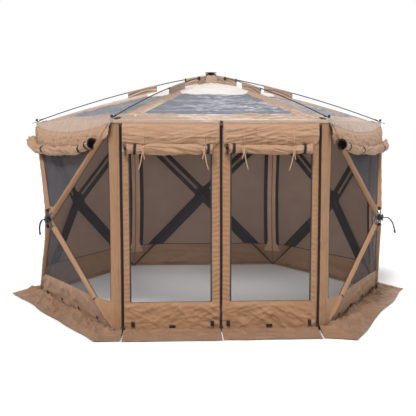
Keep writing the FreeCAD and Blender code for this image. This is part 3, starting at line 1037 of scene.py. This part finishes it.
def door_panel(word, side, inner_x):
    """Door with its netting window, black binding and kick strip."""
    place = wall_frame(FRONT)
    ends = sorted((side * DOOR_OUTER_X, side * inner_x))
    outline = [(ends[0], HEM_Z), (ends[1], HEM_Z), (ends[1], DOOR_TOP), (ends[0], DOOR_TOP)]
    sides = (WINDOW_IN, WINDOW_IN - BINDING, WINDOW_OUT, WINDOW_OUT + BINDING)
    levels = (WINDOW_BOTTOM, WINDOW_BOTTOM - HEM_LINE, WINDOW_TOP, WINDOW_TOP + BINDING)
    cuts = [((side * x, 0), (1, 0)) for x in sides] + [((0, z), (0, 1)) for z in levels]
    sheet = scored_sheet(outline, 0.0085, cuts)

    def region(u, v):
        x = side * u
        if WINDOW_IN < x < WINDOW_OUT and WINDOW_BOTTOM < v < WINDOW_TOP:
            return 0
        beside = WINDOW_IN - BINDING < x < WINDOW_OUT + BINDING
        return 2 if beside and WINDOW_BOTTOM - HEM_LINE < v < WINDOW_TOP + BINDING else 1

    def point(u, v):
        return place(u, v, door_relief(side, inner_x, u, v))

    body = "door_" + word
    made = shape_sheet(sheet, body + "_fabric", point, region, [NETTING, TAN, DARK], body)
    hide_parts(body)


def door_skirt(word, side, inner_x):
    """Strip of ground skirt sewn to the foot of a door; it rides on the door."""
    place = wall_frame(FRONT)
    outer_x = ZIP_X - SKIRT_GAP

    def point(s, t):
        x = inner_x + (outer_x - inner_x) * s
        ragged = 0.012 * noise.noise(Vector((x * 4, side * 3.0, 1.5)))
        w = 0.002 + (SKIRT_W + ragged) * t
        slope = 0.024 * (1 - t) ** 3
        wave = 0.020 * creases(side * x, w, 31 + side, 0.10, 2.6, 58)
        wave += 0.022 * creases(side * x, w, 37, 0.11, 3.5, 5)
        return place(side * x, HEM_Z + slope + wave * ramp(t, 0, 0.15) * (1 - 0.85 * t), w)

    made = grid_sheet("door_skirt_" + word, 84, 26, point, (0.84, 0.28), [SKIRT], "door_" + word)
    tuple(place(0, 0, 0))
    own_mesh(made)


# ---------------------------------------------------------------- rolled covers

ROLL_TURNS = 5.5
SPIRAL_STEPS = 198
VALANCE_STEPS = 40
MOUTH_SLANT = 0.62          # how far a door roll's open end leans, as a share of its radius
BAND_CLEAR = 0.0085         # from a roll's surface to the middle of its bands
KNOT = ((-0.012, 0.004, 0), (0, 0.010, 0.006), (0.012, 0, 0), (0, -0.010, 0.005), (-0.012, 0.004, 0))
TIE_END = ((0, 0, 0), (0.25, 0.25, 0.006), (0.5, 0.65, -0.004), (1, 1, -0.010))


def roll_sheet(name, place, span, flip, roll, valance_span, seed, rows, bands):
    """Cover hung from the eave and rolled up from its foot: a spiral, then a valance up to the eave.

    The cover's foot is at the core of the spiral, and each band in bands pulls the roll smooth.
    """
    total = SPIRAL_STEPS + VALANCE_STEPS
    slanted = roll is door_roll
    core = 0.30 if slanted else 0.50
    mouth_shade_steps = 26 if slanted else 62       # painted shade: the innermost turns, seen in the mouth of the roll, take the dark material

    def point(s, t):
        u = span[0] + (span[1] - span[0]) * s
        index = t * total
        if index <= SPIRAL_STEPS:
            out, height, outer = roll(u)
            inward = (1 - index / SPIRAL_STEPS) ** 1.6
            angle = -math.pi + 2 * math.pi * ROLL_TURNS * inward
            grown = 1 - (1 - core) * inward
            ends = [ramp(u, span[1] - 0.06, span[1]), ramp(span[0] + 0.10 - u, 0, 0.04) * slanted]
            smooth = max(ends + [bell(u, band, 0.020) for band in bands])
            bunched = 0 if slanted else 0.3 * (1 - ramp(u, span[0] + 0.02, span[0] + 0.14))
            radius = (outer + roll_lump(u, angle, seed) * (1 + bunched - 0.8 * smooth)) * grown
            reach, rise = radius * math.cos(angle), radius * math.sin(angle)
            slant = MOUTH_SLANT * reach * (1 - ramp(u, span[0], span[0] + 0.10)) * slanted
            return place(u * flip + slant, height + rise, out + reach)
        share = (index - SPIRAL_STEPS) / VALANCE_STEPS
        spread = valance_span[0] + (valance_span[1] - valance_span[0]) * s
        wide = u + (spread - u) * ramp(share, -0.1, 0.35)
        out, height = valance(wide, share, roll, seed)
        out = min(out, 0.02 + 0.6 * (HALF_SIDE - abs(wide))) if wide < 0 else out
        out = min(out, 0.012 + 0.45 * abs(wide)) if slanted else out
        return place(wide * flip, height, out)

    middle = roll(sum(span) / 2)
    turns = 2 * math.pi * ROLL_TURNS * middle[2] * (1 + core) / 2
    size = (span[1] - span[0], turns + EAVE_Z - middle[1])

    # Material index along the cover: 2 painted shade at the core, 0 rolled cloth, 1 valance.
    def region(s, t):
        index = t * total
        return 2 if index < mouth_shade_steps else 0 if index < SPIRAL_STEPS else 1

    made = grid_sheet(name, rows, total, point, size, [ROLLED, LINING, DARK], None, region)
    return made


def loop_round(place, u, out, height, reach, tilt, steps):
    """Points of a loop round a roll's axis at u, and the direction along the axis."""
    points = []
    for i in range(steps + 1):
        angle = 2 * math.pi * i / steps
        rise = math.sin(angle)
        points.append(place(u + tilt * rise, height + reach * rise, out + reach * math.cos(angle)))
    return points, (place(u + 1, 0, 0) - place(u, 0, 0)).normalized()


def roll_band(name, place, u, roll, body):
    """Black webbing ring round a roll."""
    out, height, radius = roll
    points, along = loop_round(place, u, out, height, radius + BAND_CLEAR, 0.003, 32)
    strap(name, points, along, 0.021, 0.0025, BLACK_TAPE, body)


def door_cover(word, side):
    """Rolled cover over a door, its bands and its ties."""
    place = wall_frame(FRONT)
    body = "door_" + word
    span = sorted(side * x for x in DOOR_ROLL_X[word])
    wide = sorted(side * x for x in VALANCE_X)
    bands = [side * x for x in DOOR_BAND_X[word] + TIE_X[word]]
    name = "door_cover_" + word
    roll = roll_sheet(name + "_fabric", place, span, 1, door_roll, wide, DOOR_ROLL_SEED, 120, bands)
    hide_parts(name)
    start, end = (tuple(place(side * 0.45, v, 0)) for v in (EAVE_Z - 0.01, DOOR_TOP_Z - 0.05))
    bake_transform(roll)
    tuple(start)
    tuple(end)
    for i, x in enumerate(DOOR_BAND_X[word]):
        roll_band("door_cover_band_%s_%d" % (word, i), place, side * x, door_roll(side * x), body)
    for i, x in enumerate(TIE_X[word]):
        tie_tapes("door_cover_tie_%s_%d" % (word, i), place, side * x, body, 1 if i else -1)


def tie_tapes(name, place, u, body, lean_side):
    """Thin tan tape down the valance and round a roll, knotted in front, with two hanging ends."""
    out, height, radius = door_roll(u)
    radius += 0.003
    ring, along = loop_round(place, u, out, height, radius, 0.010, 24)
    strap(name + "_ring", ring, along, 0.011, 0.0016, TAN_TAPE, body)
    drop = []
    for i in range(13):
        share = 0.72 - 0.55 * i / 12
        w, v = valance(u, share, door_roll, DOOR_ROLL_SEED)
        drop.append(place(u + 0.006 * math.sin(5 * share), v, w + 0.005))
    strap(name + "_valance", drop, along, 0.009, 0.0014, TAN_TAPE, body)
    knot_w = out + radius + 0.004
    knot_v = height - 0.35 * radius
    knot = [place(u + a, knot_v + b, knot_w + c) for a, b, c in KNOT]
    tube(name + "_knot", knot, 0.0055, TAN_TAPE, body)
    for j, (lean, fall) in enumerate(((-0.040, 0.165), (0.014, 0.075))):
        route = [place(u + a * lean * lean_side, knot_v - b * fall, knot_w + c) for a, b, c in TIE_END]
        strap(name + "_end_%d" % j, smooth_points(route, 12), along, 0.009, 0.0014, TAN_TAPE, body)


def side_cover(word):
    """Rolled cover over a front side wall: it sags between the poles and its outer end curls up."""
    wall = "front_" + word
    place = wall_frame(HUB_WALLS[wall])
    flip = side_flip(wall)
    body = "side_cover_" + word
    roll = side_roll(wall)
    span = (SIDE_ROLL_FAR[wall], SIDE_ROLL_NEAR[wall])
    bands = SIDE_BAND_U[wall]
    made = roll_sheet(body + "_fabric", place, span, flip, roll, SIDE_VALANCE, SIDE_SEED[wall], 190, bands)
    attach(made, body)
    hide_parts(body)
    for i, u in enumerate(bands):
        roll_band("side_cover_band_%s_%d" % (word, i), place, u * flip, roll(u), body)


# ---------------------------------------------------------------- skirt

# Depth of each set of the skirt's folds, then its seed, width, stretch and direction.
SKIRT_WAVES = ((0.030, 5.0, 0.12, 4.0, 5), (0.030, 8.0, 0.11, 2.6, 50), (0.022, 12.0, 0.08, 3.0, -42),
               (0.010, 15.0, 0.05, 4.0, 20))


def ground_skirt():
    """Skirt round the five hub walls and the front posts, in one run from zip to zip."""
    front = wall_frame(FRONT)

    def ring(apothem):
        half = apothem * math.tan(math.pi / 6)
        ends = [front(x, 0, apothem - APOTHEM) for x in (ZIP_X + SKIRT_GAP, -ZIP_X - SKIRT_GAP)]
        return ends[:1] + [ray(angle_deg) * 2 * half for angle_deg in range(-60, 241, 60)] + ends[1:]

    inner, outer = ring(APOTHEM + 0.005), ring(APOTHEM + SKIRT_W)
    outer[1] = outer[1] * 1.035
    counts = [5] + [170] * 5 + [5]
    stops = [sum(counts[:i]) for i in range(len(counts) + 1)]
    total = stops[-1]

    def point(s, t):
        index = s * total
        leg = max(i for i in range(len(counts)) if stops[i] <= index + 1e-6)
        share = (index - stops[leg]) / counts[leg]
        foot = inner[leg].lerp(inner[leg + 1], share)
        edge = outer[leg].lerp(outer[leg + 1], share)
        long_way = (inner[leg + 1] - inner[leg]).length * share + 2 * leg
        spot = foot.lerp(edge, t)
        ragged = (0.030 * noise.noise(Vector((long_way * 2.6, 0.4, 2.0))) - 0.004) * t
        spot += (edge - foot).normalized() * ragged
        slope = 0.030 * (1 - t) ** 3
        corner = math.exp(-((share * (1 - share)) / 0.03) ** 2) if 0 < leg < 6 else 0.3
        w = t * SKIRT_W
        pleat = 0.034 * corner * math.sin(math.pi * min(1, t * 1.2))
        pleat *= creases(long_way, w, 3.0, 0.06, 4.0, 90)
        wave = sum(depth * creases(long_way, w, *shape) for depth, *shape in SKIRT_WAVES)
        height = 0.003 + slope + (wave + pleat) * ramp(t, 0, 0.2) * (1.15 - 0.95 * t)
        return Vector((spot.x, spot.y, height))

    made = grid_sheet("ground_skirt_fabric", total, 32, point, (9.4, 0.28), [SKIRT], "frame")
    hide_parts("ground_skirt")


# ---------------------------------------------------------------- fittings

# Corner fittings as (radius, across, height) in each corner's own frame.
KNOB = ((1.828, 0, 1.838), (1.828, 0, 1.846), (1.828, 0, 1.856), (1.828, 0, 1.864))
KNOB_MIDDLE = 1.851
KNOB_HALF = 0.013
PLATE = ((1.800, 0, 1.842), (1.816, 0, 1.836), (1.829, 0, 1.822), (1.831, 0, 1.800))
ARM = ((1.826, 0, 1.834), (1.822, 0.012, 1.826), (1.808, 0.026, 1.812))
GUY_LOOP = ((1.832, -0.006, 1.830), (1.86, -0.012, 1.826), (1.886, 0, 1.815), (1.86, 0.012, 1.820),
            (1.832, 0.006, 1.826))
FOOT = ((1.818, 0, 0.008), (1.834, 0, 0.010), (1.838, 0, 0.022), (1.832, 0, 0.036))
BOOT = (1.802, 1.785, 1.765)


def fittings():
    """Corner brackets with knobs and guy loops, feet, pole boots and the roof's corner patches."""
    for corner, angle_deg in CORNERS.items():
        spot = corner_frame(angle_deg)
        corner_knob(corner, spot)
        plate = tube("corner_plate_" + corner, [spot(*p) for p in PLATE], 0.0065, BRACKET_METAL, "frame")
        for hand, word in ((-1, "left"), (1, "right")):
            arm = [spot(radius, hand * across, height) for radius, across, height in ARM]
            tube("corner_arm_%s_%s" % (corner, word), arm, 0.0045, BRACKET_METAL, "frame")
        tube("guy_loop_" + corner, [spot(*p) for p in GUY_LOOP], 0.0022, GUY_CORD, "frame", closed=True)
        tube("corner_foot_" + corner, [spot(*p) for p in FOOT], 0.010, HUB_PLASTIC, "frame")
        boot = [spot(r, 0, pole_height(r)) for r in BOOT]
        tube("pole_boot_" + corner, boot, 0.0075, HUB_PLASTIC, "roof_pole_" + corner)
        patch_corner(corner, spot)
    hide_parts("corner_brackets")


def corner_knob(corner, spot):
    """Round knob on top of a corner bracket, thickest at its middle."""
    knob = tube("corner_knob_" + corner, [spot(*p) for p in KNOB], 0.0105, HUB_PLASTIC, "frame")
    for vert in knob.data.vertices:
        level = (vert.co.z - KNOB_MIDDLE) / KNOB_HALF
        scale = 0.72 + 0.5 * max(0, 1 - level * level) ** 0.5
        middle = spot(KNOB[0][0], 0, vert.co.z)
        vert.co = middle + (vert.co - middle) * scale


def patch_corner(corner, spot):
    """Dark reinforcement sewn over the roof's corner."""
    def point(s, t):
        half = (0.012 + 0.05 * s) * (1 - 0.5 * s)
        radius = CORNER_R + 0.006 - 0.10 * s
        across = (2 * t - 1) * half
        return spot(radius, across, ridge_height(min(CORNER_R, radius)) + 0.007 - 0.1405 * abs(across))

    body = "roof_pole_" + corner
    thicken(grid_sheet("corner_patch_" + corner, 6, 6, point, (0.1, 0.06), [DARK], body), 0.0015)


def lathe(name, centre, axis, profile, material, body):
    """Round moulded part: profile is (radius, distance along the axis) from end to end."""
    side = axis.orthogonal().normalized()
    other = axis.cross(side)
    count = 40
    turns = [2 * math.pi * i / count for i in range(count)]
    spokes = [side * math.cos(turn) + other * math.sin(turn) for turn in turns]
    points = [centre + axis * along + spoke * radius for radius, along in profile for spoke in spokes]
    rings = [range(i * count, (i + 1) * count) for i in range(len(profile))]
    faces = []
    for low, high in zip(rings, rings[1:]):
        faces += [(low[j], low[j + 1 - count], high[j + 1 - count], high[j]) for j in range(count)]
    faces.append(tuple(reversed(rings[0])))
    faces.append(tuple(rings[-1]))
    mesh = bpy.data.meshes.new(name)
    mesh.from_pydata(points, [], faces)
    made = add_object(name, mesh, [material], body)
    bevel = made.modifiers.new("edge", "BEVEL")
    bevel.width = 0.0012
    bevel.segments = 2
    return made


HUB_PROFILE = ((0.024, -0.024), (0.030, -0.021), (0.030, -0.015), (0.021, -0.012), (0.021, 0.012),
               (0.033, 0.014), (0.034, 0.019), (0.026, 0.023), (0.012, 0.024))
FORK = ((0.015, 0.004), (0.034, 0.0085), (0.058, 0.0085))    # along the pole, and off its middle


def wall_hub(wall):
    """Moulded wall hub: an inner and an outer boss, and a fork round each pole's end."""
    place = wall_frame(HUB_WALLS[wall])
    centre = place(0, HUB_Z, HUB_OUT)
    outward = ray(HUB_WALLS[wall])
    made = lathe("wall_hub_" + wall, centre, outward, HUB_PROFILE, HUB_PLASTIC, "hub_" + wall)
    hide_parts("hub_" + wall)
    reach = Vector((HALF_SIDE, HALF_HEIGHT)).normalized()
    for i, (a, b) in enumerate(((1, 1), (-1, 1), (-1, -1), (1, -1))):
        for hand, word in ((-1, "a"), (1, "b")):
            fork = []
            for along, spread in FORK:
                u = a * reach.x * along - hand * b * reach.y * spread
                v = HUB_Z + b * reach.y * along + hand * a * reach.x * spread
                fork.append(place(u, v, HUB_OUT - 0.17 * along))
            tube("wall_hub_fork_%s_%d%s" % (wall, i, word), fork, 0.004, HUB_PLASTIC, "hub_" + wall)


# Routes of the hub straps as (height over the hub's middle, out from it).
ARCHED = ((0, 0.018), (0.006, 0.050), (-0.004, 0.085), (-0.045, 0.116), (-0.095, 0.132), (-0.135, 0.139))
HANGING = ((0, 0.018), (0.004, 0.040), (-0.010, 0.062), (-0.050, 0.076), (-0.095, 0.080), (-0.135, 0.074))


def wall_hubs():
    """Each wall hub with its webbing pull strap."""
    for wall, angle_deg in HUB_WALLS.items():
        bends = HANGING if wall in ("front_left", "back_right") else ARCHED
        wall_hub(wall)
        place = wall_frame(angle_deg)
        route = [place(0, HUB_Z + rise, HUB_OUT + out) for rise, out in bends]
        points = smooth_points(route, 30)
        along = UP.cross(ray(angle_deg))
        strap("hub_strap_" + wall, points, along, 0.028, 0.006, BLACK_TAPE, "hub_" + wall)
        tip = [points[-3], points[-1], points[-1] - UP * 0.006]
        tube("hub_strap_end_" + wall, tip, 0.009, HUB_PLASTIC, "hub_" + wall)


# Webbing tabs at the foot of the doors: door, x, height, and 1 if the tab lies level.
DOOR_TABS = (("left", -0.757, 0.078, 0), ("left", -0.076, 0.078, 0), ("left", -0.42, 0.056, 1),
             ("right", 0.062, 0.078, 0), ("right", 0.77, 0.078, 0), ("right", 0.42, 0.056, 1))
ZIP_ENDS = (("left", -ZIP_X, "frame"), ("centre", 0.0, "door_left"), ("right", ZIP_X, "frame"))
ZIP_END = ((0, 0.060, 0.012), (0.003, 0.040, 0.020), (0.014, 0.016, 0.030))
WALL_TABS = (-0.62, -0.22, 0.2, 0.62)


def tabs():
    """Small webbing tabs at the foot of the walls and doors."""
    front = wall_frame(FRONT)
    level_way = Vector((1, 0, 0))
    for i, (word, x, z, level) in enumerate(DOOR_TABS):
        side = 1 if x > 0 else -1
        half = Vector((0.026, 0)) if level else Vector((0, 0.024))
        points = []
        for k in (-1, -0.5, 0, 0.5, 1):
            u, v = x + half.x * k, z + half.y * k
            points.append(front(u, v, max(0.012, door_relief(side, 0.0, u, v)) + 0.010))
        across, width = (UP, 0.024) if level else (level_way, 0.030)
        strap("foot_tab_door_%s_%d" % (word, i), points, across, width, 0.003, BLACK_TAPE, "door_" + word)
    for name, x, body in ZIP_ENDS:
        points = [front(x + lean, z, w) for lean, z, w in ZIP_END]
        strap("zip_end_" + name, points, level_way, 0.026, 0.004, BLACK_TAPE, body)
    points = [front(0, EAVE_Z - drop, 0.026) for drop in (0.002, 0.009, 0.018)]
    strap("eave_tab", points, level_way, 0.024, 0.003, BLACK_TAPE, "frame")
    for wall, angle_deg in HUB_WALLS.items():
        place = wall_point(wall)
        along = UP.cross(ray(angle_deg))
        body = "panel_bottom_" + wall
        for i, u in enumerate(WALL_TABS):
            points = [place(u, z, 0.024) for z in (0.064, 0.078, 0.092)]
            strap("foot_tab_%s_%d" % (wall, i), points, along, 0.03, 0.004, BLACK_TAPE, body)


def dress_cad():
    """Materials of the CAD pieces that show: poles, hubs and zip sliders."""
    for name, piece in frame["nodes"].items():
        if name.startswith(("poles_", "roof_pole_")):
            material = FIBREGLASS
        elif name.startswith("hub_") or name == "roof_hub":
            material = HUB_PLASTIC
        elif name.startswith("zip_slider"):
            material = SLIDER_METAL
        else:
            continue
        for slot in piece.material_slots:
            slot.material = material


# ---------------------------------------------------------------- studio

SUNS = (("key", -112, 56, 14, 3.4), ("fill", -30, 40, 60, 0.5), ("rim", 80, 30, 12, 0.40))
FLOOR_HALF = 40.0
SKY = ((0.30, (1.0, 1.0, 1.0)), (0.45, (0.34, 0.34, 0.34)))    # from below the horizon to above it
EYE = (-0.4209, -7.5031, 1.6885)
HEADING = (0.0519, 0.9934, -0.1026)


def studio():
    """Pale floor, soft light and the camera."""
    scene = bpy.context.scene
    scene.view_settings.view_transform = "Standard"
    floor_mesh = bpy.data.meshes.new("floor")
    corners = [(FLOOR_HALF * x, FLOOR_HALF * y, 0) for x, y in ((-1, -1), (1, -1), (1, 1), (-1, 1))]
    floor_mesh.from_pydata(corners, [], [(0, 1, 2, 3)])
    paper = base_material("studio_floor", None, Roughness=0.9, Base_Color=(0.8, 0.8, 0.8, 1))[0]
    floor_mesh.materials.append(paper)
    link_new("floor", floor_mesh)

    world = bpy.data.worlds.new("studio")
    world.use_nodes = True
    tree = world.node_tree
    way = node(tree, "ShaderNodeTexCoord").outputs["Generated"]
    height = node(tree, "ShaderNodeSeparateXYZ", Vector=way).outputs["Z"]
    tree.links.new(grade(tree, height, SKY), tree.nodes["Background"].inputs["Color"])
    scene.world = world

    for name, azimuth, elevation, spread, strength in SUNS:
        data = bpy.data.lights.new(name, "SUN")
        data.energy = strength
        data.angle = math.radians(spread)
        away = ray(azimuth) * math.cos(math.radians(elevation)) + UP * math.sin(math.radians(elevation))
        link_new(name, data).rotation_euler = (-away).to_track_quat("-Z", "Y").to_euler()

    data = bpy.data.lights.new("inside", "AREA")
    data.size = 1.6
    data.energy = 20
    lamp = link_new("inside", data)
    lamp.location = (0, 0, EAVE_Z + 0.12)
    lamp.visible_camera = False

    lens = bpy.data.cameras.new("camera")
    lens.lens = 60.7
    lens.sensor_width = 36.0
    camera = link_new("camera", lens)
    camera.location = EYE
    camera.rotation_euler = Vector(HEADING).to_track_quat("-Z", "Y").to_euler()
    scene.camera = camera


def main():
    """Build the looks round the CAD pieces, in order."""
    studio()
    dress_cad()
    for index, wall in enumerate(HUB_WALLS):
        wall_facets(wall, 3.0 + 7 * index)
        pole_sleeves(wall)
        if wall in CLOSED_WALLS:
            closed_cover(wall, 50.0 + 9 * index)
    for index, side in enumerate(ROOF_SIDES):
        roof_gore(side, 20.0 + 5 * index)
        eave_flap(side, 80.0 + index)
    roof_sleeves()
    roof_collar()
    corner_seams()
    zip_tape("zip_left", -ZIP_X, "frame")
    zip_tape("zip_right", ZIP_X, "frame")
    zip_tape("zip_centre", 0.0, "door_left")
    front_posts()
    for word, side, inner_x in (("left", -1, 0.0), ("right", 1, 0.001)):
        door_panel(word, side, inner_x)
        door_skirt(word, side, inner_x + 0.004)
        door_cover(word, side)
        side_cover(word)
    ground_skirt()
    fittings()
    wall_hubs()
    tabs()


main()
